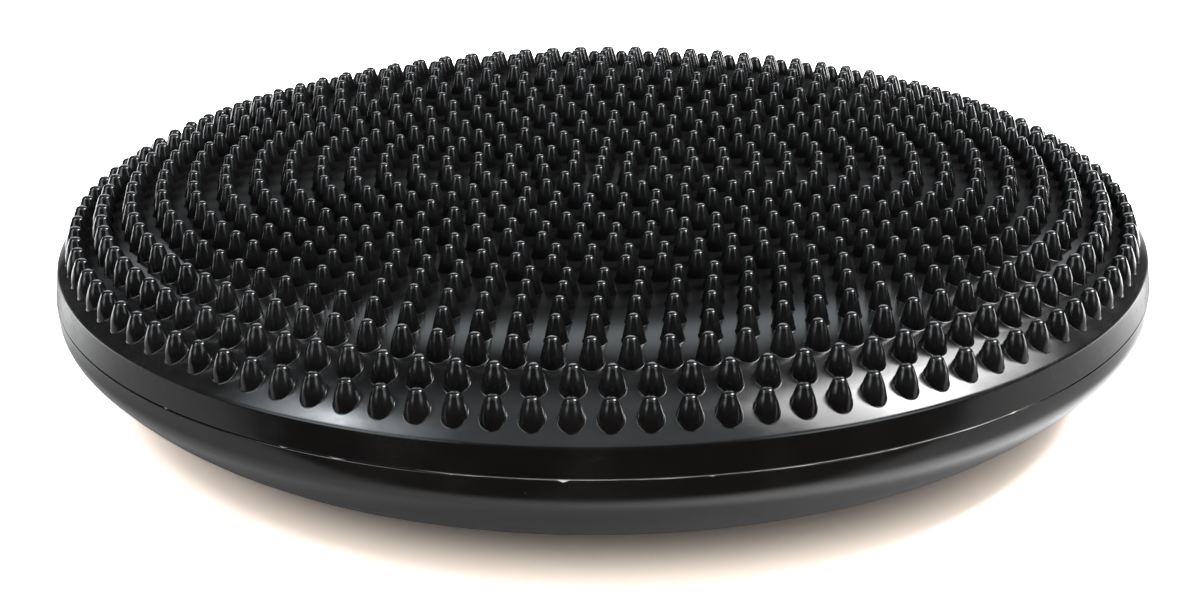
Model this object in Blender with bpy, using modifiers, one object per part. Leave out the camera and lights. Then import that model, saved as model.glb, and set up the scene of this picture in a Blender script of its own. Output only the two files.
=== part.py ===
"""Wobble cushion: an air-filled balance disc with a studded top and a smooth domed underside.

Two thick moulded half shells of soft black PVC are welded together at the rim and hold the air.
The air valve sits in a pocket in the back of the rim, below the weld: a rubber seat, a self-sealing
core inside the seat, and a stopper that pulls straight out of it.

Metres. +Z is up, the origin is on the floor under the centre, the front is -Y, the valve faces +Y.
"""

from math import atan, cos, hypot, radians, sin, tau

import bmesh
import bpy
from mathutils import Matrix

# Driving dimensions of the disc.
RIM_RADIUS = 0.1636
SEAM_HEIGHT = 0.0340
SKIN_TOP = 0.0595
WALL = 0.0032
RIM_WALL = 0.0080
GAP = 0.0003
TURN_STEPS = 40

# Top skin: shallowly dished in the middle, then a shoulder down to the corner above the rim band.
DISH_DEPTH = 0.0017
DISH_RADIUS = 0.1000
SHOULDER_START = 0.0750
SHOULDER_POWER = 4.6
CORNER_RADIUS = 0.1627
CORNER_HEIGHT = 0.0422

# Underside: the rounded lower corner of the rim band, then a dome that flattens to where it rests.
LOWER_CORNER = ((0.1633, 0.0290), (0.1629, 0.0269), (0.1622, 0.0253))
DOME_EDGE_RADIUS = 0.1633
DOME_EDGE_HEIGHT = 0.0270
REST_RADIUS = 0.0600
DOME_POWER = 5.0
DOME_RADII = (0.1610, 0.1560, 0.1490, 0.1400, 0.1280, 0.1120)

# The hollow inside: an elliptical cavity wall from the seam to the flat inner faces.
CAVITY_TOP_RADIUS = 0.1000
CAVITY_BOTTOM_RADIUS = 0.0850
CAVITY_STEPS = 5

# Studs: upright spikes in rings of six more studs each, every ring one pitch further down the skin.
STUD_HEIGHT = 0.0073
STUD_FOOT = 0.0040
STUD_ROOT = 0.0010
STUD_SIDES = 4
RING_PITCH = 0.00935
RING_COUNT = 17
STUDS_PER_RING = 6
STAGGERED_RINGS = (3, 6, 9, 10)
RINGS_TURN = radians(-5.2)
OUTER_RINGS = (16, 17)
OUTER_RINGS_TURN = radians(-2.9)

# The top skin has an edge outside each of these rings. Inside the first edge it is one flat face, at
# the height that the dish has at this share of the face's radius.
FACETED_AFTER_RINGS = (5, 8, 11, 13, 14, 15, 16)
FLAT_LEVEL_SHARE = 0.7
LAST_FACET_RADIUS = 0.1600

# Valve in the back of the rim, along +Y.
VALVE_HEIGHT = 0.0265
POCKET_FLOOR_Y = 0.1584
POCKET_RADIUS = 0.0061
SEAT_RADIUS = 0.0045
SEAT_INNER_Y = 0.1490
SEAT_FLANGE_RADIUS = 0.0057
SEAT_FLANGE_THICKNESS = 0.0011
NEEDLE_BORE_RADIUS = 0.0022
CORE_RADIUS = 0.0030
CORE_LENGTH = 0.0040
CORE_DIMPLE_DEPTH = 0.0012
CORE_DIMPLE_RADIUS = 0.0009
HEAD_RADIUS = 0.0042
HEAD_THICKNESS = 0.0016
HEAD_EDGE = 0.0004
SHANK_RADIUS = 0.0019
SHANK_LENGTH = 0.0048
SHANK_POINT = 0.0009
VALVE_STEPS = 24


def clear_scene():
    """Remove whatever the file starts with."""
    for thing in list(bpy.data.objects):
        bpy.data.objects.remove(thing)


def make_collection(name):
    """A collection linked to the scene."""
    collection = bpy.data.collections.new(name)
    bpy.context.scene.collection.children.link(collection)
    return collection


def make_material(name, colour, roughness):
    """A plain non-metallic material."""
    material = bpy.data.materials.new(name)
    material.use_nodes = True
    shader = material.node_tree.nodes["Principled BSDF"]
    shader.inputs["Base Color"].default_value = (*colour, 1.0)
    shader.inputs["Roughness"].default_value = roughness
    shader.inputs["Metallic"].default_value = 0.0
    return material


def add_object(name, mesh, collection, material=None):
    """An object in the collection, with its one material."""
    thing = bpy.data.objects.new(name, mesh)
    collection.objects.link(thing)
    if material:
        mesh.materials.append(material)
    return thing


def applied_mesh(thing):
    """The object's mesh with its modifiers applied."""
    graph = bpy.context.evaluated_depsgraph_get()
    return bpy.data.meshes.new_from_object(thing.evaluated_get(graph))


def quarter_ellipse(centre, radii, start, end, steps):
    """Points on an ellipse about the centre, angles in turns from the outward direction."""
    turns = [start + (end - start) * i / steps for i in range(steps + 1)]
    return [(centre[0] + radii[0] * cos(turn * tau), centre[1] + radii[1] * sin(turn * tau))
            for turn in turns]


def turned_solid(name, outline, steps, collection, material=None):
    """A solid turned about Z; the outline runs down the outer side, its open ends become flat faces."""
    profile = bpy.data.meshes.new(name)
    profile.from_pydata([(radius, 0.0, height) for radius, height in outline],
                        [(i, i + 1) for i in range(len(outline) - 1)], [])
    thing = add_object(name, profile, collection)
    screw = thing.modifiers.new("turn", "SCREW")
    screw.steps = steps
    screw.render_steps = steps
    screw.use_merge_vertices = True
    screw.merge_threshold = 0.0001
    mesh = applied_mesh(thing)
    thing.modifiers.clear()
    thing.data = mesh
    shape = bmesh.new()
    shape.from_mesh(mesh)
    bmesh.ops.holes_fill(shape, edges=shape.edges, sides=0)
    bmesh.ops.recalc_face_normals(shape, faces=shape.faces)
    shape.to_mesh(mesh)
    shape.free()
    if material:
        mesh.materials.append(material)
    return thing


def combine(target, tool, operation):
    """Join the tool to the target or cut it away, then put the tool out of sight."""
    step = target.modifiers.new(tool.name, "BOOLEAN")
    step.operation = operation
    step.solver = "EXACT"
    step.object = tool
    mesh = applied_mesh(target)
    target.modifiers.clear()
    target.data = mesh
    tool.hide_render = True
    tool.display_type = "WIRE"


def smooth(thing, degrees=35):
    """Smooth shading with crisp edges where faces turn sharply."""
    thing.data.shade_smooth()
    thing.data.set_sharp_from_angle(angle=radians(degrees))


def skin_height(radius):
    """Height of the top skin between the studs."""
    along = max(0.0, radius - SHOULDER_START) / (CORNER_RADIUS - SHOULDER_START)
    inside = 1.0 - min(1.0, radius / DISH_RADIUS) ** 2
    shoulder_drop = (SKIN_TOP - CORNER_HEIGHT) * along**SHOULDER_POWER
    return SKIN_TOP - shoulder_drop - DISH_DEPTH * inside**2


def skin_slope(radius):
    """Gradient of the top skin outwards, negative where it falls."""
    step = 0.0001
    return (skin_height(radius + step) - skin_height(radius)) / step


def dome_height(radius):
    """Height of the underside."""
    along = max(0.0, radius - REST_RADIUS) / (DOME_EDGE_RADIUS - REST_RADIUS)
    return DOME_EDGE_HEIGHT * along**DOME_POWER


def ring_radii():
    """Radius of each ring of studs, one pitch apart along the skin."""
    radii = []
    radius = 0.0
    for _ in range(RING_COUNT):
        middle = radius + 0.5 * RING_PITCH / hypot(1.0, skin_slope(radius))
        radius += RING_PITCH / hypot(1.0, skin_slope(middle))
        radii.append(radius)
    return radii


def make_top_shell(collection, material):
    """The upper half without its studs."""
    radii = ring_radii()
    facets = [0.5 * (radii[ring - 1] + radii[ring]) for ring in FACETED_AFTER_RINGS]
    flat = (facets[0], skin_height(FLAT_LEVEL_SHARE * facets[0]))
    skin = [(radius, skin_height(radius)) for radius in (*facets[1:], LAST_FACET_RADIUS)]
    seam = SEAM_HEIGHT + GAP / 2
    ceiling = SKIN_TOP - DISH_DEPTH - WALL
    cavity = quarter_ellipse((CAVITY_TOP_RADIUS, seam),
                             (RIM_RADIUS - RIM_WALL - CAVITY_TOP_RADIUS, ceiling - seam),
                             0.0, 0.25, CAVITY_STEPS)
    outline = [flat, *skin, (CORNER_RADIUS, CORNER_HEIGHT), (RIM_RADIUS, seam), *cavity]
    return turned_solid("top_shell", outline, TURN_STEPS, collection, material)


def make_bottom_shell(collection, material):
    """The lower half: rim band, rounded corner and the dome the cushion rests on."""
    seam = SEAM_HEIGHT - GAP / 2
    cavity = quarter_ellipse((CAVITY_BOTTOM_RADIUS, seam),
                             (RIM_RADIUS - RIM_WALL - CAVITY_BOTTOM_RADIUS, seam - WALL),
                             -0.25, 0.0, CAVITY_STEPS)
    dome = [(radius, dome_height(radius)) for radius in DOME_RADII]
    outline = [*cavity, (RIM_RADIUS, seam), *LOWER_CORNER, *dome, (REST_RADIUS, 0.0)]
    return turned_solid("bottom_shell", outline, TURN_STEPS, collection, material)


def add_stud(shape, radius, turn):
    """One upright spike whose foot follows the skin just below its surface."""
    height = STUD_HEIGHT * cos(atan(skin_slope(radius)))
    place = (Matrix.Rotation(turn, 4, "Z")
             @ Matrix.Translation((0.0, -radius, skin_height(radius) + height / 2)))
    spike = bmesh.ops.create_cone(shape, cap_ends=True, cap_tris=True, segments=STUD_SIDES,
                                  radius1=STUD_FOOT, radius2=0.0, depth=height, matrix=place)
    top = skin_height(radius) + height
    for corner in spike["verts"]:
        if corner.co.z < top - height / 2:
            corner.co.z = skin_height(hypot(corner.co.x, corner.co.y)) - STUD_ROOT


def ring_layout(ring):
    """How many studs a ring has and the turn of its first one."""
    count = STUDS_PER_RING * ring
    if ring in OUTER_RINGS:
        return count, OUTER_RINGS_TURN
    stagger = 0.5 * tau / count if ring in STAGGERED_RINGS else 0.0
    return count, RINGS_TURN + stagger


def make_studs(collection):
    """The centre stud and all the rings round it, as one tool to join to the top shell."""
    shape = bmesh.new()
    add_stud(shape, 0.0, 0.0)
    for ring, radius in enumerate(ring_radii(), start=1):
        count, first = ring_layout(ring)
        for stud in range(count):
            add_stud(shape, radius, first + stud * tau / count)
    bmesh.ops.recalc_face_normals(shape, faces=shape.faces)
    mesh = bpy.data.meshes.new("stud_field")
    shape.to_mesh(mesh)
    shape.free()
    return add_object("stud_field", mesh, collection)


def lay_along_valve(thing, at_y):
    """Turn a piece built round Z to point out along +Y and put its base on the valve axis."""
    thing.data.transform(Matrix.Rotation(radians(-90), 4, "X"))
    thing.location = (0.0, at_y, VALVE_HEIGHT)


def make_round_tool(name, radius, start_y, end_y, collection):
    """A plain cylinder along the valve axis, for cutting."""
    tool = turned_solid(name, [(radius, end_y - start_y), (radius, 0.0)], VALVE_STEPS, collection)
    lay_along_valve(tool, start_y)
    return tool


def cut_valve_pocket(shell, tools):
    """The flat-bottomed pocket for the seat's flange and the hole for its body."""
    pocket = make_round_tool("pocket", POCKET_RADIUS, POCKET_FLOOR_Y, RIM_RADIUS + WALL, tools)
    combine(shell, pocket, "DIFFERENCE")
    hole = make_round_tool("seat_hole", SEAT_RADIUS + GAP, SEAT_INNER_Y - WALL, RIM_RADIUS, tools)
    combine(shell, hole, "DIFFERENCE")


def make_seat(collection, tools, material):
    """Rubber plug through the wall: flange outside, needle bore, wider pocket for the core inside."""
    length = POCKET_FLOOR_Y + GAP - SEAT_INNER_Y
    outline = [(SEAT_FLANGE_RADIUS, length + SEAT_FLANGE_THICKNESS), (SEAT_FLANGE_RADIUS, length),
               (SEAT_RADIUS, length), (SEAT_RADIUS, 0.0)]
    seat = turned_solid("valve_seat", outline, VALVE_STEPS, collection, material)
    lay_along_valve(seat, SEAT_INNER_Y)
    bore = make_round_tool("needle_bore", NEEDLE_BORE_RADIUS, SEAT_INNER_Y - WALL, RIM_RADIUS, tools)
    combine(seat, bore, "DIFFERENCE")
    socket = make_round_tool("core_socket", CORE_RADIUS + GAP, SEAT_INNER_Y - WALL,
                             SEAT_INNER_Y + CORE_LENGTH + GAP, tools)
    combine(seat, socket, "DIFFERENCE")
    return seat


def make_core(collection, material):
    """Self-sealing rubber disc at the inner end of the seat, dimpled where a pump needle enters."""
    outline = [(CORE_DIMPLE_RADIUS, CORE_LENGTH - CORE_DIMPLE_DEPTH),
               (CORE_DIMPLE_RADIUS, CORE_LENGTH), (CORE_RADIUS, CORE_LENGTH), (CORE_RADIUS, 0.0)]
    core = turned_solid("valve_core", outline, VALVE_STEPS, collection, material)
    lay_along_valve(core, SEAT_INNER_Y)
    return core


def make_stopper(collection, material):
    """Plug with a thin round head outside the seat and a pointed shank in the needle bore."""
    head = GAP + HEAD_THICKNESS
    outline = [(HEAD_RADIUS - HEAD_EDGE, head), (HEAD_RADIUS, head - HEAD_EDGE), (HEAD_RADIUS, GAP),
               (SHANK_RADIUS, GAP), (SHANK_RADIUS, SHANK_POINT - SHANK_LENGTH),
               (SHANK_RADIUS - SHANK_POINT, -SHANK_LENGTH)]
    stopper = turned_solid("valve_stopper", outline, VALVE_STEPS, collection, material)
    lay_along_valve(stopper, POCKET_FLOOR_Y + GAP + SEAT_FLANGE_THICKNESS)
    return stopper


def main():
    clear_scene()
    parts = make_collection("wobble_cushion")
    tools = make_collection("cutters")
    glossy_pvc = make_material("black_pvc", (0.012, 0.012, 0.013), 0.22)
    underside_pvc = make_material("black_pvc_underside", (0.014, 0.014, 0.015), 0.28)
    seat_rubber = make_material("valve_seat_rubber", (0.018, 0.018, 0.018), 0.55)
    core_rubber = make_material("valve_core_rubber", (0.10, 0.09, 0.08), 0.60)
    stopper_plastic = make_material("stopper_plastic", (0.02, 0.02, 0.021), 0.35)

    top = make_top_shell(parts, glossy_pvc)
    combine(top, make_studs(tools), "UNION")
    bottom = make_bottom_shell(parts, underside_pvc)
    cut_valve_pocket(bottom, tools)
    seat = make_seat(parts, tools, seat_rubber)
    core = make_core(parts, core_rubber)
    stopper = make_stopper(parts, stopper_plastic)
    for thing in (top, bottom, seat, core, stopper):
        smooth(thing)


main()
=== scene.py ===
"""Looks of the wobble cushion: smooth studded skin, welded rim, domed underside, valve and materials.

Metres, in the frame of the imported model: +Z up, the front is -Y, the valve faces +Y.
"""
from math import cos, pi, radians, sin, tau

import bmesh
import bpy
import numpy as np
from mathutils import Matrix, Vector
from mathutils.geometry import delaunay_2d_cdt


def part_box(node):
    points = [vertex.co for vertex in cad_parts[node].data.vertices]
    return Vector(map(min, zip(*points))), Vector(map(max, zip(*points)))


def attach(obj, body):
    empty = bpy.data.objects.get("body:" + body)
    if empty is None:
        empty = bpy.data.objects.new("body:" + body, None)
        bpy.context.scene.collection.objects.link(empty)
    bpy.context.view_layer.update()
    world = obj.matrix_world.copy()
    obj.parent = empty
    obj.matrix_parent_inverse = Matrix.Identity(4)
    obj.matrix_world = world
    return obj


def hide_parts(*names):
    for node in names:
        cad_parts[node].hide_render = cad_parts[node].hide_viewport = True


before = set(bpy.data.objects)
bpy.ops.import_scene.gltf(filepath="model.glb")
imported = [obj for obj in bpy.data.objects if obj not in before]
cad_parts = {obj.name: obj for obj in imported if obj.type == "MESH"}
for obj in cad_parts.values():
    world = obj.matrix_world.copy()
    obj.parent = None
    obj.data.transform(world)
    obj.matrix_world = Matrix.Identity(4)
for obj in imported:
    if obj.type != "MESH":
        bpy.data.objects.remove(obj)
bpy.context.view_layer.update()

MM = 0.001

# The disc, as in the frame. Heights and radii of the shells come from the boxes of their nodes.
TOP_LOW, TOP_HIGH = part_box("top_shell")
RIM_RADIUS = TOP_HIGH.x
GAP = 0.3 * MM
SEAM_HEIGHT = TOP_LOW.z - GAP / 2
SKIN_TOP = 59.5 * MM
WALL = 3.2 * MM
RIM_WALL = 8.0 * MM
DISH_DEPTH = 1.7 * MM
DISH_RADIUS = 100.0 * MM
SHOULDER_START = 75.0 * MM
SHOULDER_POWER = 4.6
CORNER_RADIUS = 162.7 * MM
CORNER_HEIGHT = 42.2 * MM
DOME_EDGE_RADIUS = 163.3 * MM
DOME_EDGE_HEIGHT = 27.0 * MM
REST_RADIUS = 60.0 * MM
DOME_POWER = 5.0
CAVITY_TOP_RADIUS = 100.0 * MM
CAVITY_BOTTOM_RADIUS = 85.0 * MM
TURN_STEPS = 480
FIELD_RADIUS = 160.5 * MM
LIP_ROUND = 0.25 * MM

# Studs.
STUD_HEIGHT = 7.3 * MM
STUD_TIP_TURN = radians(74)
STUD_FILLET = 0.28 * MM
STUD_SIDES = 28
STUD_TIP_STEPS = 5
STUD_SIDE_STEPS = 5

# A slim stud, as on the inner rings, and a stout one, as on the outer rings: radius of the flat on the tip,
# width and depth of the tip's rounding, greatest side radius and how far below the tip the side reaches it.
SLIM_STUD = np.array((0.18, 1.38, 1.22, 3.20, 10.0)) * MM
STOUT_STUD = np.array((0.22, 1.72, 1.42, 3.35, 6.8)) * MM
# How stout the studs of a ring are. The other rings are slim.
STOUTNESS = {14: 0.15, 15: 0.6, 16: 1.0, 17: 1.0}
RING_PITCH = 9.35 * MM
RING_COUNT = 17
STUDS_PER_RING = 6
STAGGERED_RINGS = (3, 6, 9, 10)
RINGS_TURN = radians(-5.2)
OUTER_RINGS = (16, 17)
OUTER_RINGS_TURN = radians(-2.9)
FILL_SPACING = 2.3 * MM
FILL_CLEARANCE = 0.7 * MM

# Weld flash: degrees round the rim from the front, towards +X.
FLASH_STARTS = (-22.0, -11.0)
FLASH_ENDS = (40.0, 48.0)
# How deep it is sunk where it does not show, and what it rises by where it does, plain and rippled, in mm.
FLASH_SUNK = 0.9
FLASH_RISE = 0.84
FLASH_RIPPLE = 0.20
# Places where it is torn or scuffed: degrees, half width in degrees, mm proud, mm up.
FLASH_NUBS = (
    (-44.3, 0.25, 0.25, 0.25), (-29.5, 0.50, 0.12, 0.0), (-24.0, 0.80, 0.18, 0.0),
    (-13.2, 0.20, 0.30, 0.10), (-3.5, 0.35, 0.55, -0.35), (9.2, 0.20, 0.35, -0.15),
    (13.2, 0.25, 0.30, 0.25), (26.2, 0.40, 0.35, 0.10), (40.0, 0.50, 0.40, 0.50),
)
FLASH_STEPS = 1440
# Section of the bead from its root to its edge and back: mm along the radius, share of its half thickness.
FLASH_SECTION = (
    (-1.4, -1.0), (-0.3, -1.0), (-0.1, -0.75), (0.0, 0.0), (-0.1, 0.75), (-0.3, 1.0), (-1.4, 1.0),
)

# Valve, as in the frame.
VALVE_HEIGHT = 26.5 * MM
POCKET_FLOOR_Y = 158.4 * MM
POCKET_RADIUS = 6.1 * MM
SEAT_RADIUS = 4.5 * MM
SEAT_INNER_Y = 149.0 * MM
SEAT_FLANGE_RADIUS = 5.7 * MM
SEAT_FLANGE_THICKNESS = 1.1 * MM
NEEDLE_BORE_RADIUS = 2.2 * MM
CORE_RADIUS = 3.0 * MM
CORE_LENGTH = 4.0 * MM
CORE_DIMPLE_DEPTH = 1.2 * MM
CORE_DIMPLE_RADIUS = 0.9 * MM
HEAD_RADIUS = 4.2 * MM
HEAD_THICKNESS = 1.6 * MM
SHANK_RADIUS = 1.9 * MM
SHANK_LENGTH = 4.8 * MM
SHANK_POINT = 0.9 * MM
VALVE_STEPS = 72

# Plastic: its refractive index, and a lower one that takes most reflection off the skin between the
# inner studs, a painted-out reflection. The skin is shiny again outside the radii of the shoulder and in
# front of the depths, both given as the places where that begins and ends to change. The tips of the
# studs are polished.
PVC_IOR = 1.5
DULL_IOR = 1.03
SHOULDER_SHINE_RADII = (112 * MM, 142 * MM)
SHOULDER_SHINE_DEPTHS = (-85 * MM, -35 * MM)
STUD_SHINE_SHARES = (0.05, 0.6)
TIP_POLISH = 0.45
DUST_COLOUR = (0.32, 0.30, 0.28, 1.0)
# Two kinds of scratches: size along each axis of their texture space, and its turn.
SCRATCH_KINDS = (
    ((12 * MM, 0.25 * MM, 0.4 * MM), (0.1, 0.2, 0.35)),
    ((0.3 * MM, 9 * MM, 0.5 * MM), (0.3, 0.1, -0.25)),
)

# Floor as the eye sees it: how much brighter than its lights make it, under the object and in the open,
# the distances from the middle of the painted shadow between which that changes, and that shadow's green
# and blue as shares of its red. The low gain under the object paints a warm shadow on top of the
# rendered one.
FLOOR_PAINTED_SHADOW_GAINS = (1.55, 3.3)
FLOOR_PAINTED_SHADOW_REACHES = (125 * MM, 152 * MM)
FLOOR_PAINTED_SHADOW_CENTRE = (6 * MM, 0.0, 0.0)
FLOOR_PAINTED_SHADOW_TINT = (0.87, 0.76)

# Floor as glossy surfaces see it, levels that paint its reflection on the object: gains near the object
# from its left to its right, beside it, and behind it at either side. Near fades out between two distances
# from the rim, and beside fades in between two distances in front of it.
FLOOR_NEAR_GAINS = (0.29, 0.84)
FLOOR_NEAR_FADE = (6 * MM, 30 * MM)
FLOOR_SIDE_GAIN = 0.30
FLOOR_SIDE_FADE = (22 * MM, 2 * MM)
FLOOR_BACK_GAIN = 2.2

# Half the side of the floor, and how far it lies below the object so that the two do not share a plane.
FLOOR_HALF_SIDE = 6.0
FLOOR_DROP = 0.05 * MM

# Lights: name, direction, aim of the longer side, sides, radiance, tint. Left and right have a hot core.
SOFTBOX_DISTANCE = 1.25
RIGHT_AIM = (0.26, 0.50, -0.23)
LEFT_AIM = (-0.45, 0.60, -0.18)
WHITE = (1.0, 1.0, 1.0)
SOFTBOXES = (
    ("softbox_right", (0.57, 0.06, 0.82), RIGHT_AIM, (0.85, 0.52), 12.0, WHITE),
    ("softbox_right_core", (0.60, 0.02, 0.80), RIGHT_AIM, (0.34, 0.34), 24.0, WHITE),
    ("softbox_left", (-0.58, -0.20, 0.79), LEFT_AIM, (0.50, 0.34), 6.5, (0.86, 0.93, 1.0)),
    ("softbox_left_core", (-0.56, -0.16, 0.81), LEFT_AIM, (0.14, 0.14), 20.0, (0.93, 0.97, 1.0)),
)

# Surroundings: the level that other surfaces see, the level, missing red and missing green that glossy
# ones see, and the upward parts of a direction between which the panels below fade in.
STUDIO_LEVEL = 1.05
DARK_STUDIO_LEVEL = 0.06
DARK_STUDIO_CAST = (0.13, 0.04)
PANELS_START = (0.14, 0.28)

# Panels that only glossy surfaces see: direction, half angles where they begin and end to fade, level.
WORLD_PANELS = (
    ((0.0, 0.95, 0.31), 16, 36, 2.4),
    ((0.0, -0.25, 0.97), 18, 36, 0.8),
    ((0.74, -0.52, 0.43), 10, 24, 3.2),
    ((-0.74, -0.52, 0.43), 10, 24, 3.6),
)


# ---------------------------------------------------------------- shape laws

def skin_height(radius):
    """Height of the top skin between the studs."""
    radius = np.asarray(radius, float)
    along = np.maximum(0.0, radius - SHOULDER_START) / (CORNER_RADIUS - SHOULDER_START)
    inside = 1.0 - np.minimum(1.0, radius / DISH_RADIUS) ** 2
    shoulder_drop = (SKIN_TOP - CORNER_HEIGHT) * along**SHOULDER_POWER
    return SKIN_TOP - shoulder_drop - DISH_DEPTH * inside**2


def skin_slope(radius):
    """Gradient of the top skin outwards."""
    step = 0.1 * MM
    return (skin_height(radius + step) - skin_height(radius)) / step


def skin_normals(places):
    """Unit normals of the top skin over places (rows of x, y)."""
    radius = np.hypot(places[:, 0], places[:, 1])
    outward = places / np.maximum(radius, 1e-9)[:, None]
    normals = np.column_stack([-skin_slope(radius)[:, None] * outward, np.ones(len(places))])
    return normals / np.linalg.norm(normals, axis=1)[:, None]


def dome_height(radius):
    """Height of the underside."""
    along = max(0.0, radius - REST_RADIUS) / (DOME_EDGE_RADIUS - REST_RADIUS)
    return DOME_EDGE_HEIGHT * along**DOME_POWER


def ring_radii():
    """Radius of each ring of studs, one pitch apart along the skin."""
    radii = []
    radius = 0.0
    for _ in range(RING_COUNT):
        middle = radius + 0.5 * RING_PITCH / np.hypot(1.0, skin_slope(radius))
        radius += RING_PITCH / np.hypot(1.0, skin_slope(middle))
        radii.append(radius)
    return radii


def stud_places():
    """Centre of every stud, as rows of x, y."""
    places = [(0.0, 0.0)]
    for ring, radius in enumerate(ring_radii(), start=1):
        count = STUDS_PER_RING * ring
        first = RINGS_TURN + (pi / count if ring in STAGGERED_RINGS else 0.0)
        if ring in OUTER_RINGS:
            first = OUTER_RINGS_TURN
        turns = first + np.arange(count) * tau / count
        places.extend(zip(radius * np.sin(turns), -radius * np.cos(turns)))
    return np.array(places)


def stud_shapes():
    """Shape of every stud, in the order of the places, as rows like SLIM_STUD."""
    shapes = [SLIM_STUD]
    for ring in range(1, RING_COUNT + 1):
        stout = STOUTNESS.get(ring, 0.0)
        shapes += [SLIM_STUD + stout * (STOUT_STUD - SLIM_STUD)] * STUDS_PER_RING * ring
    return np.array(shapes)


def bridge(start, start_aim, end, end_aim, steps):
    """Points of a smooth curve between two points that leaves and arrives along the given aims."""
    start, end = np.array(start), np.array(end)
    reach = np.linalg.norm(end - start) / 2.6
    first = start + reach * np.array(start_aim) / np.linalg.norm(start_aim)
    last = end - reach * np.array(end_aim) / np.linalg.norm(end_aim)
    points = []
    for share in np.linspace(0.0, 1.0, steps + 1):
        left = 1.0 - share
        points.append(tuple(left**3 * start + 3 * left**2 * share * first
                            + 3 * left * share**2 * last + share**3 * end))
    return points


def arc(centre, radii, start, end, steps):
    """Points on an ellipse about the centre, angles in turns from the outward direction."""
    return [(centre[0] + radii[0] * cos(tau * turn), centre[1] + radii[1] * sin(tau * turn))
            for turn in np.linspace(start, end, steps + 1)]


# ---------------------------------------------------------------- meshes

def new_piece(name, mesh, material, slot, body, *nodes):
    """A piece that rides on a body and stands for the CAD nodes named."""
    piece = bpy.data.objects.new(name, mesh)
    bpy.context.scene.collection.objects.link(piece)
    mesh.materials.append(material)
    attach(piece, body)
    if nodes:
        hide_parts(*nodes)
    return piece


def profile_normals(profile):
    """Outward unit normals (radial, up) of a profile that runs clockwise round the solid."""
    points = np.array(profile)
    along = np.gradient(points, axis=0)
    normals = np.column_stack([-along[:, 1], along[:, 0]])
    return normals / np.linalg.norm(normals, axis=1)[:, None]


def turned_mesh(name, profile, steps, closed=False):
    """A mesh turned about Z. An open profile runs from the axis back to the axis."""
    mesh = bpy.data.meshes.new(name)
    rim = profile if closed else profile[1:-1]
    turns = np.arange(steps) * tau / steps
    points = [(radius * sin(turn), -radius * cos(turn), height)
              for radius, height in rim for turn in turns]
    faces = []
    rows = len(rim)
    for row in range(rows if closed else rows - 1):
        here, there = row * steps, (row + 1) % rows * steps
        for i in range(steps):
            j = (i + 1) % steps
            faces.append((here + i, there + i, there + j, here + j))
    if not closed:
        points += [(0.0, 0.0, profile[0][1]), (0.0, 0.0, profile[-1][1])]
        last = (rows - 1) * steps
        for i in range(steps):
            j = (i + 1) % steps
            faces.append((rows * steps, i, j))
            faces.append((rows * steps + 1, last + j, last + i))
    mesh.from_pydata(points, [], faces)
    tidy_normals(mesh)
    mesh.shade_smooth()
    return mesh


def tidy_normals(mesh):
    """Turn every face outwards."""
    shape = bmesh.new()
    shape.from_mesh(mesh)
    bmesh.ops.recalc_face_normals(shape, faces=shape.faces)
    shape.to_mesh(mesh)
    shape.free()


def side_radius(drop, shapes):
    """Radius of each stud's side at a drop below its tip. Both have a row for each stud."""
    flat, width, depth, foot_radius, foot_drop = (column[:, None] for column in shapes.T)
    neck_radius = flat + width * sin(STUD_TIP_TURN)
    neck_drop = depth * (1.0 - cos(STUD_TIP_TURN))
    share = np.clip((drop - neck_drop) / (foot_drop - neck_drop), 0.0, 1.0)
    return neck_radius + (foot_radius - neck_radius) * np.sin(share * pi / 2)


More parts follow.
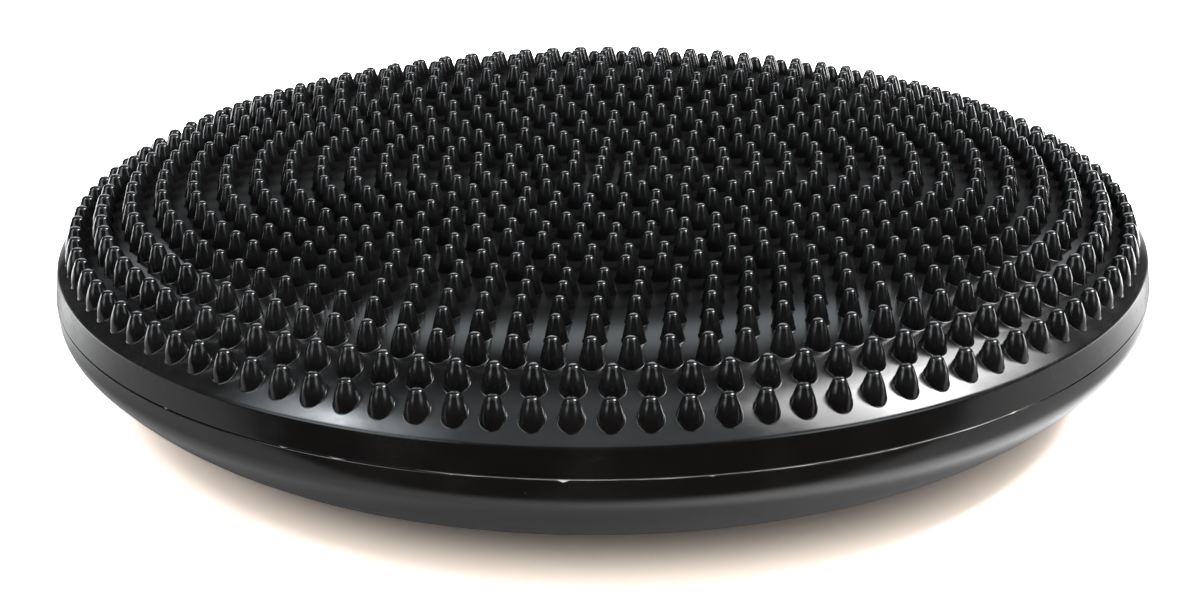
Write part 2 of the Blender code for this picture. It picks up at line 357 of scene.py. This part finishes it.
def stud_rings():
    """Points and normals of all studs, both shaped (studs, rings, sides, 3), with the tip points."""
    places, shapes = stud_places(), stud_shapes()
    count = len(places)
    radius = np.hypot(places[:, 0], places[:, 1])
    tips = skin_height(radius) + STUD_HEIGHT / np.hypot(1.0, skin_slope(radius))
    turns = np.arange(STUD_SIDES) * tau / STUD_SIDES
    outward = np.column_stack([np.sin(turns), -np.cos(turns)])

    def at(reach):
        """Places at a reach from each stud's axis, one for each side."""
        return places[:, None, :] + reach[..., None] * outward[None]

    def skin_at(spots):
        return skin_height(np.hypot(spots[..., 0], spots[..., 1]))

    # The foot is where the side meets the curved skin, found by improving a guess.
    foot = np.full((count, STUD_SIDES), 3.0 * MM)
    for _ in range(12):
        foot_drop = tips[:, None] - skin_at(at(foot))
        foot = side_radius(foot_drop, shapes)

    rings, normals = [], []

    def add_ring(reach, drop, tilt):
        """A ring at the drop below the tips; tilt is how far its normals lean outwards."""
        reach = np.broadcast_to(reach, (count, STUD_SIDES))
        drop = np.broadcast_to(drop, (count, STUD_SIDES))
        tilt = np.broadcast_to(tilt, (count, STUD_SIDES))
        rings.append(np.dstack([at(reach), tips[:, None] - drop]))
        normals.append(np.dstack([np.sin(tilt)[..., None] * outward[None], np.cos(tilt)]))

    flat, width, depth = (column[:, None] for column in shapes[:, :3].T)
    for turn in np.linspace(0.0, STUD_TIP_TURN, STUD_TIP_STEPS + 1):
        tilt = np.arctan2(depth * sin(turn), width * cos(turn))
        add_ring(flat + width * sin(turn), depth * (1.0 - cos(turn)), tilt)
    neck_drop = depth * (1.0 - cos(STUD_TIP_TURN))
    last_drop = foot_drop - STUD_FILLET
    for share in np.linspace(0.0, 1.0, STUD_SIDE_STEPS + 1)[1:]:
        drop = neck_drop + (last_drop - neck_drop) * share
        step = 0.01 * MM
        lean = (side_radius(drop + step, shapes) - side_radius(drop, shapes)) / step
        add_ring(side_radius(drop, shapes), drop, pi / 2 - np.arctan(lean))
    side_normals = normals[-1]
    edge = at(foot + STUD_FILLET)
    edge_normals = skin_normals(edge.reshape(-1, 2)).reshape(count, STUD_SIDES, 3)
    middle = at(foot + 0.29 * STUD_FILLET)
    middle_normals = side_normals + edge_normals
    middle_normals /= np.linalg.norm(middle_normals, axis=2)[..., None]
    rings.append(np.dstack([middle, skin_at(middle) + 0.29 * STUD_FILLET]))
    normals.append(middle_normals)
    rings.append(np.dstack([edge, skin_at(edge)]))
    normals.append(edge_normals)
    return places, tips, np.stack(rings, 1), np.stack(normals, 1)


def fill_places(places, reach):
    """A triangular grid of places over the skin that stay clear of every stud foot."""
    rows = int(FIELD_RADIUS / FILL_SPACING) + 1
    grid = []
    for row in range(-rows, rows + 1):
        for column in range(-rows, rows + 1):
            grid.append((FILL_SPACING * (column + 0.5 * (row % 2)), FILL_SPACING * 0.866 * row))
    grid = np.array(grid)
    grid = grid[np.hypot(grid[:, 0], grid[:, 1]) < FIELD_RADIUS - FILL_CLEARANCE]
    clear = [spot for spot in grid
             if np.min(np.hypot(*(places - spot).T)) > reach + FILL_CLEARANCE]
    return np.array(clear)


def shell_profile():
    """The top shell outside the studded field: corner, rim band, lip, hollow, ending on the axis."""
    seam = SEAM_HEIGHT + GAP / 2
    corner_start = 162.0 * MM
    aim = (1.0, float(skin_slope(corner_start)))
    band_aim = np.array([RIM_RADIUS - CORNER_RADIUS, seam - CORNER_HEIGHT])
    band_start = np.array([CORNER_RADIUS, CORNER_HEIGHT]) + 0.07 * band_aim
    rim = bridge((corner_start, float(skin_height(corner_start))), aim, tuple(band_start), band_aim, 8)
    band_end = np.array([RIM_RADIUS, seam + LIP_ROUND])
    band = [tuple(band_start + (band_end - band_start) * share) for share in np.linspace(0, 1, 6)[1:]]
    lip = arc((RIM_RADIUS - LIP_ROUND, seam + LIP_ROUND), (LIP_ROUND, LIP_ROUND), 0.0, -0.25, 4)[1:]
    inner = RIM_RADIUS - RIM_WALL
    ceiling = SKIN_TOP - DISH_DEPTH - WALL
    hollow = arc((CAVITY_TOP_RADIUS, seam), (inner - CAVITY_TOP_RADIUS, ceiling - seam), 0.0, 0.25, 16)
    return [*rim, *band, *lip, (inner + 1.0 * MM, seam), *hollow, (0.0, ceiling)]


def make_top_mesh():
    """One closed skin: studs, the skin between them, and the lathed shell round and under it."""
    places, tips, rings, ring_normals = stud_rings()
    count, ring_count, sides = rings.shape[:3]
    points = [np.column_stack([places, tips]), rings.reshape(-1, 3)]
    normals = [np.tile((0.0, 0.0, 1.0), (count, 1)), ring_normals.reshape(-1, 3)]
    triangles, quads = [], []

    # Studs: a fan at each tip, then bands of quads down to the foot.
    side = np.arange(sides)
    after = (side + 1) % sides
    base = count + np.arange(count)[:, None] * ring_count * sides
    fan = np.stack([np.broadcast_to(np.arange(count)[:, None], (count, sides)),
                    base + side, base + after], 2)
    triangles.append(fan.reshape(-1, 3))
    for ring in range(ring_count - 1):
        upper = base + ring * sides
        lower = upper + sides
        quads.append(np.stack([upper + side, lower + side, lower + after, upper + after], 2).reshape(-1, 4))

    # Skin between the studs, out to the edge of the studded field.
    edge_index = (base + (ring_count - 1) * sides + side).reshape(-1)
    all_points = np.concatenate(points)
    edge = all_points[edge_index]
    fill = fill_places(places, SLIM_STUD[3] + STUD_FILLET)
    turns = np.arange(TURN_STEPS) * tau / TURN_STEPS
    border = FIELD_RADIUS * np.column_stack([np.sin(turns), -np.cos(turns)])
    flat = np.concatenate([edge[:, :2], fill, border])
    start = len(all_points)
    extra = flat[len(edge):]
    points.append(np.column_stack([extra, skin_height(np.hypot(extra[:, 0], extra[:, 1]))]))
    normals.append(skin_normals(extra))
    index = np.concatenate([edge_index, start + np.arange(len(extra))])
    owner = np.concatenate([np.repeat(np.arange(count), sides), -1 - np.arange(len(extra))])
    loops = [(int(s * sides + i), int(s * sides + (i + 1) % sides)) for s in range(count) for i in side]
    found = delaunay_2d_cdt([Vector(spot) for spot in flat / MM], loops, [], 0, 1e-6)
    source = np.array([ids[0] for ids in found[3]])
    cells = source[np.array(found[2])]
    inside = (owner[cells[:, 0]] == owner[cells[:, 1]]) & (owner[cells[:, 1]] == owner[cells[:, 2]])
    triangles.append(index[cells[~inside]])

    # The shell outside the field, round to the underside of the skin.
    profile = shell_profile()
    leans = profile_normals([(FIELD_RADIUS, float(skin_height(FIELD_RADIUS))), *profile])[1:]
    border_index = index[-TURN_STEPS:]
    previous = border_index
    total = start + len(extra)
    spoke = np.arange(TURN_STEPS)
    following = (spoke + 1) % TURN_STEPS
    for (radius, height), lean in zip(profile[:-1], leans[:-1]):
        points.append(np.column_stack([radius * np.sin(turns), -radius * np.cos(turns),
                                       np.full(TURN_STEPS, height)]))
        normals.append(np.column_stack([lean[0] * np.sin(turns), -lean[0] * np.cos(turns),
                                        np.full(TURN_STEPS, lean[1])]))
        row = total + spoke
        quads.append(np.stack([previous[spoke], row, row[following], previous[following]], 1))
        previous = row
        total += TURN_STEPS
    points.append(np.array([(0.0, 0.0, profile[-1][1])]))
    normals.append(np.array([(0.0, 0.0, -1.0)]))
    triangles.append(np.stack([previous[spoke], np.full(TURN_STEPS, total), previous[following]], 1))

    points, normals = np.concatenate(points), np.concatenate(normals)
    faces = [tuple(face) for group in (*triangles, *quads) for face in group.tolist()]
    mesh = bpy.data.meshes.new("top_skin")
    mesh.from_pydata(points.tolist(), [], faces)
    tidy_normals(mesh)
    mesh.shade_smooth()
    mesh.normals_split_custom_set_from_vertices(normals.tolist())
    height = np.clip((points[:, 2] - skin_height(np.hypot(points[:, 0], points[:, 1]))) / STUD_HEIGHT, 0, 1)
    share = mesh.attributes.new("stud_share", "FLOAT", "POINT")
    share.data.foreach_set("value", height.astype(np.float32))
    return mesh


def make_bottom_mesh():
    """Lower shell: lip, rim band, soft corner and dome, hollow inside."""
    seam = SEAM_HEIGHT - GAP / 2
    inner = RIM_RADIUS - RIM_WALL
    hollow = arc((CAVITY_BOTTOM_RADIUS, seam), (inner - CAVITY_BOTTOM_RADIUS, seam - WALL), -0.25, 0.0, 16)
    lip = arc((RIM_RADIUS - LIP_ROUND, seam - LIP_ROUND), (LIP_ROUND, LIP_ROUND), 0.25, 0.0, 4)
    band_end = (RIM_RADIUS - 0.2 * MM, 30.2 * MM)
    corner_end = 160.2 * MM
    step = 0.1 * MM
    aim = (-step, dome_height(corner_end - step) - dome_height(corner_end))
    corner = bridge(band_end, (-0.06, -1.0), (corner_end, dome_height(corner_end)), aim, 10)
    dome = [(radius, dome_height(radius)) for radius in np.linspace(corner_end, REST_RADIUS, 26)[1:]]
    profile = [(0.0, WALL), *hollow, (inner + 1.0 * MM, seam), *lip, *corner, *dome, (0.0, 0.0)]
    return turned_mesh("bottom_skin", profile, TURN_STEPS)


def point_along_valve(mesh, at_y):
    """Turn a mesh built round Z to point along +Y, with its base on the valve axis."""
    mesh.transform(Matrix.Translation((0.0, at_y, VALVE_HEIGHT)) @ Matrix.Rotation(radians(-90), 4, "X"))
    return mesh


def cut_round_hole(piece, radius, start_y, end_y):
    """Cut a round hole along the valve axis."""
    profile = [(0.0, 0.0), (radius, 0.0), (radius, end_y - start_y), (0.0, end_y - start_y)]
    plug = point_along_valve(turned_mesh("cutter", profile, VALVE_STEPS), start_y)
    tool = bpy.data.objects.new("cutter", plug)
    bpy.context.scene.collection.objects.link(tool)
    step = piece.modifiers.new("cut", "BOOLEAN")
    step.operation = "DIFFERENCE"
    step.solver = "EXACT"
    step.object = tool
    graph = bpy.context.evaluated_depsgraph_get()
    mesh = bpy.data.meshes.new_from_object(piece.evaluated_get(graph))
    piece.modifiers.clear()
    piece.data = mesh
    bpy.data.objects.remove(tool)


def make_flash_mesh():
    """The irregular bead of weld flash. It shows at the front and right, and is sunk elsewhere."""
    mesh = bpy.data.meshes.new("weld_flash")
    degrees = np.arange(FLASH_STEPS) * 360.0 / FLASH_STEPS
    signed = (degrees + 180.0) % 360.0 - 180.0
    turns = np.radians(degrees)
    strength = np.interp(signed, (*FLASH_STARTS, *FLASH_ENDS), (0.0, 1.0, 1.0, 0.0))
    ripple = 0.5 + 0.22 * np.sin(turns * 23 + 0.7) + 0.16 * np.sin(turns * 61 + 2.1)
    ripple += 0.12 * np.sin(turns * 149)
    bumps = [np.exp(-((signed - nub[0]) / nub[1]) ** 2) for nub in FLASH_NUBS]
    strength = np.maximum(strength, np.max(bumps, axis=0))
    proud = (-FLASH_SUNK + strength * (FLASH_RISE + FLASH_RIPPLE * ripple)) * MM
    droop = 0.05 * np.sin(turns * 37 + 1.0) * MM
    for bump, nub in zip(bumps, FLASH_NUBS):
        proud = proud + bump * nub[2] * MM
        droop = droop + bump * nub[3] * MM
    half = (0.03 + 0.03 * ripple * strength) * MM
    points, faces = [], []
    for along, across in FLASH_SECTION:
        radius = RIM_RADIUS + proud + along * MM
        height = SEAM_HEIGHT + across * half + (droop if along > -0.2 else 0.0)
        points.append(np.column_stack([radius * np.sin(turns), -radius * np.cos(turns), height]))
    rows = len(FLASH_SECTION)
    for row in range(rows):
        here, there = row * FLASH_STEPS, (row + 1) % rows * FLASH_STEPS
        for i in range(FLASH_STEPS):
            j = (i + 1) % FLASH_STEPS
            faces.append((here + i, there + i, there + j, here + j))
    mesh.from_pydata(np.concatenate(points).tolist(), [], faces)
    tidy_normals(mesh)
    mesh.shade_smooth()
    return mesh


def make_seat_mesh():
    """Rubber seat: flange with a rounded edge, needle bore, wider socket for the core."""
    length = POCKET_FLOOR_Y + GAP - SEAT_INNER_Y
    top = length + SEAT_FLANGE_THICKNESS
    soft = 0.3 * MM
    profile = [(CORE_RADIUS + GAP, 0.0), (SEAT_RADIUS - soft, 0.0), (SEAT_RADIUS, soft),
               (SEAT_RADIUS, length), (SEAT_FLANGE_RADIUS, length),
               *arc((SEAT_FLANGE_RADIUS - soft, top - soft), (soft, soft), 0.0, 0.25, 4),
               *arc((NEEDLE_BORE_RADIUS + soft, top - soft), (soft, soft), 0.25, 0.5, 4),
               (NEEDLE_BORE_RADIUS, CORE_LENGTH + GAP), (CORE_RADIUS + GAP, CORE_LENGTH + GAP)]
    mesh = turned_mesh("valve_seat_skin", profile, VALVE_STEPS, closed=True)
    return point_along_valve(mesh, SEAT_INNER_Y)


def make_core_mesh():
    """Self-sealing core with a rounded dimple at its outer end."""
    dimple = [(CORE_DIMPLE_RADIUS * share, CORE_LENGTH - CORE_DIMPLE_DEPTH * (1 - share**3))
              for share in np.linspace(0.0, 1.0, 8)]
    soft = 0.25 * MM
    edge = arc((CORE_RADIUS - soft, CORE_LENGTH - soft), (soft, soft), 0.25, 0.0, 4)
    profile = [*dimple, *edge, (CORE_RADIUS, soft), (CORE_RADIUS - soft, 0.0), (0.0, 0.0)]
    return point_along_valve(turned_mesh("valve_core_skin", profile, VALVE_STEPS), SEAT_INNER_Y)


def make_stopper_mesh():
    """Stopper: domed head with a finger-nail groove under its edge, tapered shank."""
    base = GAP
    top = base + HEAD_THICKNESS
    edge = 0.4 * MM
    fall = 0.12 * MM
    crown = [(share * (HEAD_RADIUS - edge), top - fall * share**2) for share in np.linspace(0.0, 1.0, 8)]
    rim = arc((HEAD_RADIUS - edge, top - fall - edge), (edge, edge), 0.25, 0.0, 5)[1:]
    groove = [(HEAD_RADIUS, base + 0.75 * MM), (HEAD_RADIUS - 0.25 * MM, base + 0.5 * MM),
              (HEAD_RADIUS - 0.25 * MM, base + 0.3 * MM), (HEAD_RADIUS - 0.4 * MM, base)]
    shank = [(SHANK_RADIUS + 0.2 * MM, base), (SHANK_RADIUS, base - 0.2 * MM),
             (SHANK_RADIUS, SHANK_POINT - SHANK_LENGTH), (SHANK_RADIUS - SHANK_POINT, -SHANK_LENGTH)]
    profile = [*crown, *rim, *groove, *shank, (0.0, -SHANK_LENGTH)]
    return point_along_valve(turned_mesh("valve_stopper_skin", profile, VALVE_STEPS),
                             POCKET_FLOOR_Y + GAP + SEAT_FLANGE_THICKNESS)


def crisp(piece, degrees):
    """Smooth shading with crisp edges where faces turn sharply."""
    piece.data.shade_smooth()
    piece.data.set_sharp_from_angle(angle=radians(degrees))


# ---------------------------------------------------------------- materials

def add_node(tree, kind, **inputs):
    """A shader node with its inputs set or linked. i0 is its first input, and _name a property."""
    node = tree.nodes.new(kind)
    for name, value in inputs.items():
        if name.startswith("_"):
            setattr(node, name[1:], value)
            continue
        numbered = name[0] == "i" and name[1:].isdigit()
        socket = node.inputs[int(name[1:]) if numbered else name.replace("_", " ")]
        if isinstance(value, bpy.types.NodeSocket):
            tree.links.new(value, socket)
        else:
            socket.default_value = value
    return node


def math_node(tree, operation, first, second=0.5, clamp=False):
    """A math node's output."""
    node = add_node(tree, "ShaderNodeMath", _operation=operation, _use_clamp=clamp, i0=first, i1=second)
    return node.outputs[0]


def map_range(tree, value, low, high, to_low=0.0, to_high=1.0):
    """A value eased from one range to another."""
    node = add_node(tree, "ShaderNodeMapRange", _interpolation_type="SMOOTHSTEP", Value=value, From_Min=low,
                    From_Max=high, To_Min=to_low, To_Max=to_high)
    return node.outputs["Result"]


def noise(tree, place, scale, detail=2.0, rough=0.5):
    """Noise in a range of about 0 to 1 at a scale in features per metre."""
    return add_node(tree, "ShaderNodeTexNoise", Vector=place, Scale=scale, Detail=detail,
                    Roughness=rough).outputs["Fac"]


def stretched(tree, place, factors, turn=(0.0, 0.0, 0.0)):
    """Texture space scaled and turned."""
    node = add_node(tree, "ShaderNodeMapping", _vector_type="TEXTURE", Vector=place)
    node.inputs["Scale"].default_value = factors
    node.inputs["Rotation"].default_value = turn
    return node.outputs[0]


def scratches(tree, place, factors, turn):
    """Sparse fine streaks: ridges of noise stretched along one axis, kept only in patches."""
    space = stretched(tree, place, factors, turn)
    ridges = map_range(tree, noise(tree, space, 1.0, 2.0), 0.66, 0.74)
    patches = map_range(tree, noise(tree, place, 31.0, 1.0), 0.52, 0.70)
    return math_node(tree, "MULTIPLY", ridges, patches)


def stud_finish(tree, place, roughness):
    """Roughness falling towards the stud tips, and an index that paints out reflection between inner studs.
    """
    share = add_node(tree, "ShaderNodeAttribute", _attribute_name="stud_share").outputs["Fac"]
    worn = math_node(tree, "SUBTRACT", 1.0, math_node(tree, "MULTIPLY", share, TIP_POLISH))
    apart = add_node(tree, "ShaderNodeSeparateXYZ", Vector=place)
    flat = add_node(tree, "ShaderNodeCombineXYZ", X=apart.outputs["X"], Y=apart.outputs["Y"])
    reach = add_node(tree, "ShaderNodeVectorMath", _operation="LENGTH", i0=flat.outputs[0])
    # Painted-out reflection: the skin reflects fully only on the front of the shoulder and on the studs.
    shoulder = math_node(tree, "MULTIPLY", map_range(tree, reach.outputs["Value"], *SHOULDER_SHINE_RADII),
                         map_range(tree, apart.outputs["Y"], *SHOULDER_SHINE_DEPTHS, 1.0, 0.0))
    reflective = math_node(tree, "MAXIMUM", shoulder, map_range(tree, share, *STUD_SHINE_SHARES))
    index = map_range(tree, reflective, 0.0, 1.0, DULL_IOR, PVC_IOR)
    return math_node(tree, "MULTIPLY", roughness, worn), index


def moulded_material(name, colour, roughness, grain=0.35, scuffs=0.5, dust=0.5, studded=False):
    """Soft moulded plastic or rubber with orange peel, hazy patches, fine scratches and a little dust."""
    material = bpy.data.materials.new(name)
    material.use_nodes = True
    tree = material.node_tree
    shader = tree.nodes["Principled BSDF"]
    place = add_node(tree, "ShaderNodeTexCoord").outputs["Object"]

    haze = noise(tree, place, 42.0, 5.0, 0.6)
    smear = noise(tree, stretched(tree, place, (1.0, 1.0, 0.25)), 160.0, 3.0)
    fine = math_node(tree, "ADD", *(scratches(tree, place, *kind) for kind in SCRATCH_KINDS), clamp=True)
    specks = add_node(tree, "ShaderNodeTexVoronoi", Vector=place, Scale=430.0)
    grit = map_range(tree, specks.outputs["Distance"], 0.05, 0.11, 1.0, 0.0)
    grit = math_node(tree, "MULTIPLY", grit, map_range(tree, noise(tree, place, 90.0, 2.0), 0.55, 0.75))

    level = math_node(tree, "MULTIPLY", map_range(tree, haze, 0.3, 0.7, 0.8, 1.3), roughness)
    level = math_node(tree, "MULTIPLY", level, map_range(tree, smear, 0.25, 0.75, 0.9, 1.15))
    level = math_node(tree, "ADD", level, math_node(tree, "MULTIPLY", fine, 0.25 * scuffs))
    level = math_node(tree, "ADD", level, math_node(tree, "MULTIPLY", grit, 0.3 * dust), clamp=True)
    shader.inputs["IOR"].default_value = PVC_IOR
    if studded:
        level, index = stud_finish(tree, place, level)
        tree.links.new(index, shader.inputs["IOR"])
    tree.links.new(level, shader.inputs["Roughness"])

    tone = add_node(tree, "ShaderNodeMix", _data_type="RGBA")
    tree.links.new(map_range(tree, haze, 0.35, 0.75), tone.inputs[0])
    tone.inputs[6].default_value = (*colour, 1.0)
    tone.inputs[7].default_value = (*(1.35 * c + 0.001 for c in colour), 1.0)
    dusty = add_node(tree, "ShaderNodeMix", _data_type="RGBA")
    cover = math_node(tree, "ADD", math_node(tree, "MULTIPLY", grit, 0.35 * dust),
                      math_node(tree, "MULTIPLY", fine, 0.06 * scuffs), clamp=True)
    tree.links.new(cover, dusty.inputs[0])
    tree.links.new(tone.outputs[2], dusty.inputs[6])
    dusty.inputs[7].default_value = DUST_COLOUR
    tree.links.new(dusty.outputs[2], shader.inputs["Base Color"])

    peel = noise(tree, place, 1300.0, 2.0, 0.45)
    swell = noise(tree, place, 210.0, 1.0)
    height = math_node(tree, "ADD", math_node(tree, "MULTIPLY", peel, 0.010 * MM * grain),
                       math_node(tree, "MULTIPLY", swell, 0.05 * MM * grain))
    height = math_node(tree, "SUBTRACT", height, math_node(tree, "MULTIPLY", fine, 0.012 * MM * scuffs))
    height = math_node(tree, "ADD", height, math_node(tree, "MULTIPLY", grit, 0.02 * MM * dust))
    bump = add_node(tree, "ShaderNodeBump", Strength=1.0, Distance=1.0, Height=height)
    tree.links.new(bump.outputs[0], shader.inputs["Normal"])
    return material


def floor_material(object_radius):
    """White floor, overexposed to the eye, with a warm painted shadow by the object.
    Glossy surfaces see it dark far in front of the object, and elsewhere at painted reflection levels.
    """
    material = bpy.data.materials.new("floor_white")
    material.use_nodes = True
    tree = material.node_tree
    shader = tree.nodes["Principled BSDF"]
    shader.inputs["Roughness"].default_value = 0.9
    shader.inputs["Specular IOR Level"].default_value = 0.0
    place = add_node(tree, "ShaderNodeTexCoord").outputs["Object"]
    grain = map_range(tree, noise(tree, place, 5.0, 3.0), 0.3, 0.7, 0.88, 0.92)
    apart = add_node(tree, "ShaderNodeSeparateXYZ", Vector=place)
    reach = add_node(tree, "ShaderNodeVectorMath", _operation="LENGTH", i0=place).outputs["Value"]

    # Painted reflection: levels by place that set how bright the floor shows in the glossy object.
    near = map_range(tree, reach, *(object_radius + out for out in FLOOR_NEAR_FADE), 1.0, 0.0)
    sweep = map_range(tree, apart.outputs["X"], -0.8 * object_radius, 0.9 * object_radius, *FLOOR_NEAR_GAINS)
    beside = map_range(tree, apart.outputs["Y"], *(-object_radius - out for out in FLOOR_SIDE_FADE))
    outside = map_range(tree, math_node(tree, "ABSOLUTE", apart.outputs["X"]), 0.8 * object_radius,
                        1.2 * object_radius)
    behind = math_node(tree, "MULTIPLY", outside,
                       map_range(tree, apart.outputs["Y"], -0.4 * object_radius, 1.2 * object_radius))
    far = math_node(tree, "ADD", math_node(tree, "MULTIPLY", beside, FLOOR_SIDE_GAIN),
                    math_node(tree, "MULTIPLY", behind, FLOOR_BACK_GAIN))
    mirrored = math_node(tree, "ADD", math_node(tree, "MULTIPLY", near, sweep), far)

    # Painted shadow: the eye sees the floor at a lower gain near the object, deepening the rendered shadow.
    off_shade = add_node(tree, "ShaderNodeVectorMath", _operation="DISTANCE", i0=place,
                         i1=FLOOR_PAINTED_SHADOW_CENTRE).outputs["Value"]
    painted_shadow = map_range(tree, off_shade, *FLOOR_PAINTED_SHADOW_REACHES, *FLOOR_PAINTED_SHADOW_GAINS)

    ray = add_node(tree, "ShaderNodeLightPath")
    gain = 1.0
    for view, kind in ((mirrored, "Is Glossy Ray"), (painted_shadow, "Is Camera Ray")):
        more = math_node(tree, "MULTIPLY", ray.outputs[kind], math_node(tree, "SUBTRACT", view, 1.0))
        gain = math_node(tree, "ADD", gain, more)
    colour = math_node(tree, "MULTIPLY", grain, gain)
    # Green and blue cut for all but glossy rays: the open floor clips to white, so this warms only the
    # painted shadow.
    green, blue = (math_node(tree, "MULTIPLY", colour,
                             map_range(tree, ray.outputs["Is Glossy Ray"], 0.0, 1.0, share, 1.0))
                   for share in FLOOR_PAINTED_SHADOW_TINT)
    shade = add_node(tree, "ShaderNodeCombineColor", Red=colour, Green=green, Blue=blue)
    tree.links.new(shade.outputs[0], shader.inputs["Base Color"])
    return material


# ---------------------------------------------------------------- pieces

top_pvc = moulded_material("black_pvc_moulded", (0.004, 0.0038, 0.0038), 0.20, grain=0.15, scuffs=0.3,
                           dust=0.3, studded=True)
under_pvc = moulded_material("black_pvc_underside_moulded", (0.005, 0.0049, 0.0048), 0.17, grain=0.15,
                             scuffs=0.4, dust=0.3)
# Light grey so that the bead reads as a bright line: a painted highlight for the glint along its edge.
flash_pvc = moulded_material("pale_pvc_flash", (0.42, 0.42, 0.42), 0.4, grain=1.0, dust=2.0)
seat_rubber = moulded_material("matt_seat_rubber", (0.018, 0.018, 0.018), 0.55, grain=1.2, scuffs=0.8)
core_rubber = moulded_material("brown_core_rubber", (0.10, 0.09, 0.08), 0.6, grain=1.4, scuffs=0.6)
stopper_plastic = moulded_material("satin_stopper_plastic", (0.02, 0.02, 0.021), 0.36, grain=0.6,
                                   scuffs=1.0)

top_skin = new_piece("top_skin", make_top_mesh(), top_pvc, "black_pvc", "cushion", "top_shell")
bottom_skin = new_piece("bottom_skin", make_bottom_mesh(), under_pvc, "black_pvc_underside", "cushion",
                        "bottom_shell")
cut_round_hole(bottom_skin, POCKET_RADIUS, POCKET_FLOOR_Y, RIM_RADIUS + 3 * MM)
cut_round_hole(bottom_skin, SEAT_RADIUS + GAP, SEAT_INNER_Y - WALL, RIM_RADIUS)
crisp(bottom_skin, 32)
new_piece("weld_flash", make_flash_mesh(), flash_pvc, "black_pvc", "cushion")
seat_skin = new_piece("valve_seat_skin", make_seat_mesh(), seat_rubber, "valve_seat_rubber", "cushion",
                      "valve_seat")
core_skin = new_piece("valve_core_skin", make_core_mesh(), core_rubber, "valve_core_rubber", "cushion",
                      "valve_core")
stopper_skin = new_piece("valve_stopper_skin", make_stopper_mesh(), stopper_plastic, "stopper_plastic",
                         "stopper", "valve_stopper")
for piece in (seat_skin, core_skin, stopper_skin):
    crisp(piece, 40)


# ---------------------------------------------------------------- scene

def make_floor():
    """A large plain floor."""
    half = FLOOR_HALF_SIDE
    mesh = bpy.data.meshes.new("floor")
    mesh.from_pydata([(-half, -half, 0.0), (half, -half, 0.0), (half, half, 0.0), (-half, half, 0.0)],
                     [], [(0, 1, 2, 3)])
    mesh.materials.append(floor_material(RIM_RADIUS))
    floor = bpy.data.objects.new("floor", mesh)
    floor.location.z = -FLOOR_DROP
    bpy.context.scene.collection.objects.link(floor)


def make_softbox(name, towards, along, size, radiance, tint):
    """A rectangular light in a direction from the object, turned to face it, its length along an aim."""
    lamp = bpy.data.lights.new(name, "AREA")
    lamp.shape = "RECTANGLE"
    lamp.size, lamp.size_y = size
    lamp.energy = radiance * pi * size[0] * size[1]
    lamp.color = tint
    light = bpy.data.objects.new(name, lamp)
    back = Vector(towards).normalized()
    side = (Vector(along) - Vector(along).dot(back) * back).normalized()
    turn = Matrix((side, back.cross(side), back)).transposed().to_4x4()
    light.matrix_world = Matrix.Translation(back * SOFTBOX_DISTANCE) @ turn
    bpy.context.scene.collection.objects.link(light)


def lobe(tree, aim, centre, inner, outer):
    """1 within the inner angle of a direction, easing to 0 at the outer angle, both in degrees."""
    node = add_node(tree, "ShaderNodeVectorMath", _operation="DOT_PRODUCT", i0=aim,
                    i1=tuple(Vector(centre).normalized()))
    return map_range(tree, node.outputs["Value"], cos(radians(outer)), cos(radians(inner)))


def make_world():
    """White studio. Glossy surfaces see it dark, apart from a few panels."""
    world = bpy.data.worlds.new("studio")
    world.use_nodes = True
    tree = world.node_tree
    background = tree.nodes["Background"]
    aim = add_node(tree, "ShaderNodeTexCoord").outputs["Generated"]
    apart = add_node(tree, "ShaderNodeSeparateXYZ", Vector=aim)
    above_floor = map_range(tree, apart.outputs["Z"], *PANELS_START)
    mirrored = DARK_STUDIO_LEVEL
    for centre, inner, outer, level in WORLD_PANELS:
        panel = math_node(tree, "MULTIPLY", lobe(tree, aim, centre, inner, outer), level)
        mirrored = math_node(tree, "ADD", mirrored, math_node(tree, "MULTIPLY", panel, above_floor))
    glossy = add_node(tree, "ShaderNodeLightPath").outputs["Is Glossy Ray"]
    lit = math_node(tree, "MULTIPLY", math_node(tree, "SUBTRACT", 1.0, glossy), STUDIO_LEVEL)
    level = math_node(tree, "ADD", math_node(tree, "MULTIPLY", glossy, mirrored), lit)
    tree.links.new(level, background.inputs["Strength"])
    red, green = (math_node(tree, "SUBTRACT", 1.0, math_node(tree, "MULTIPLY", glossy, lack))
                  for lack in DARK_STUDIO_CAST)
    cool = add_node(tree, "ShaderNodeCombineColor", Red=red, Green=green, Blue=1.0)
    tree.links.new(cool.outputs[0], background.inputs["Color"])
    bpy.context.scene.world = world


def make_camera():
    """A short telephoto lens from the front, 18 degrees above the horizon. The disc fills the view."""
    aim_height = 54 * MM
    distance, elevation = 0.72884, 0.31725
    pan, tilt, roll = 0.00122, -0.04535, 0.0095
    place = Vector((0.0, -distance * cos(elevation), distance * sin(elevation)))
    forward = -place.normalized()
    right = Vector((1.0, 0.0, 0.0))
    up = right.cross(forward)
    forward, right = (Matrix.Rotation(pan, 3, up) @ v for v in (forward, right))
    forward, up = (Matrix.Rotation(tilt, 3, right) @ v for v in (forward, up))
    right, up = (Matrix.Rotation(roll, 3, forward) @ v for v in (right, up))
    camera = bpy.data.cameras.new("camera")
    camera.lens = 72.1
    camera.sensor_width = 36.0
    viewer = bpy.data.objects.new("camera", camera)
    turn = Matrix((right, up, -forward)).transposed().to_4x4()
    viewer.matrix_world = Matrix.Translation(place + Vector((0.0, 0.0, aim_height))) @ turn
    bpy.context.scene.collection.objects.link(viewer)
    bpy.context.scene.camera = viewer


make_floor()
for softbox in SOFTBOXES:
    make_softbox(*softbox)
make_world()
make_camera()
bpy.context.scene.view_settings.view_transform = "Standard"
